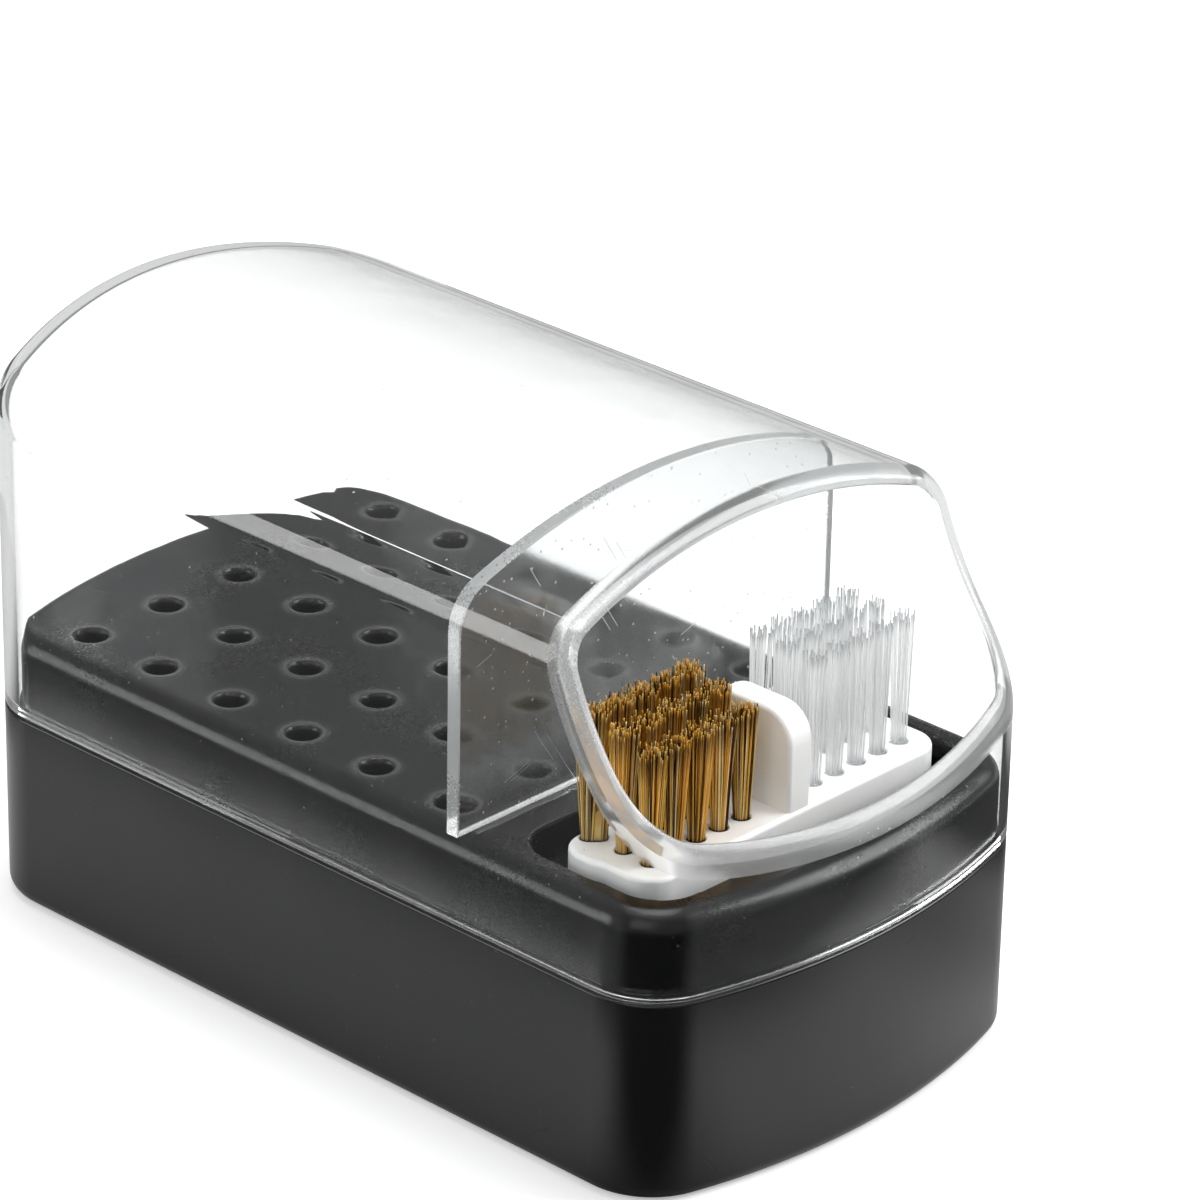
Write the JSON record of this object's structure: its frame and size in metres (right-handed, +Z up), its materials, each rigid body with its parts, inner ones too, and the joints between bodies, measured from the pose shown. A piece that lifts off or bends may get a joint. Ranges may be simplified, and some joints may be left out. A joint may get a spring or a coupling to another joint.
{
  "type": "nail drill bit holder",
  "caption": "Free-standing bit holder: black base and socket tray under an arched clear lift-off cover, with a front window over a removable brass and nylon brush.",
  "frame": {"origin": "centre of the footprint, on the surface that the base stands on", "axes": "+Z up, +Y towards the rear, so the window faces -Y, +X across the width"},
  "size_m": [0.062, 0.114, 0.0682],
  "materials": {
    "black_plastic": "satin gloss",
    "tray_plastic": "satin gloss",
    "clear_plastic": "clear polished",
    "white_plastic": "smooth",
    "brass_wire": "drawn wire",
    "nylon_strand": "translucent filament"
  },
  "bodies": {
    "base": {"base_shell": "black_plastic", "tray_deck": "tray_plastic"},
    "cover": {"clear_cover": "clear_plastic", "cover_partition": "clear_plastic"},
    "brush": {"brush_block": "white_plastic", "brass_tuft_01": "brass_wire", "brass_tuft_02": "brass_wire", "brass_tuft_03": "brass_wire", "brass_tuft_04": "brass_wire", "brass_tuft_05": "brass_wire", "brass_tuft_06": "brass_wire", "brass_tuft_07": "brass_wire", "brass_tuft_08": "brass_wire", "brass_tuft_09": "brass_wire", "brass_tuft_10": "brass_wire", "brass_tuft_11": "brass_wire", "brass_tuft_12": "brass_wire", "brass_tuft_13": "brass_wire", "brass_tuft_14": "brass_wire", "brass_tuft_15": "brass_wire", "nylon_tuft_01": "nylon_strand", "nylon_tuft_02": "nylon_strand", "nylon_tuft_03": "nylon_strand", "nylon_tuft_04": "nylon_strand", "nylon_tuft_05": "nylon_strand", "nylon_tuft_06": "nylon_strand", "nylon_tuft_07": "nylon_strand", "nylon_tuft_08": "nylon_strand", "nylon_tuft_09": "nylon_strand", "nylon_tuft_10": "nylon_strand", "nylon_tuft_11": "nylon_strand", "nylon_tuft_12": "nylon_strand", "nylon_tuft_13": "nylon_strand", "nylon_tuft_14": "nylon_strand", "nylon_tuft_15": "nylon_strand"}
  },
  "joints": [
    {"name": "cover_lift", "type": "slide", "parent": "base", "child": "cover", "axis": [0, 0, 1], "range_m": [0, 0.06]},
    {"name": "brush_lift", "type": "slide", "parent": "base", "child": "brush", "axis": [0, 0, 1], "range_m": [0, 0.01]}
  ]
}
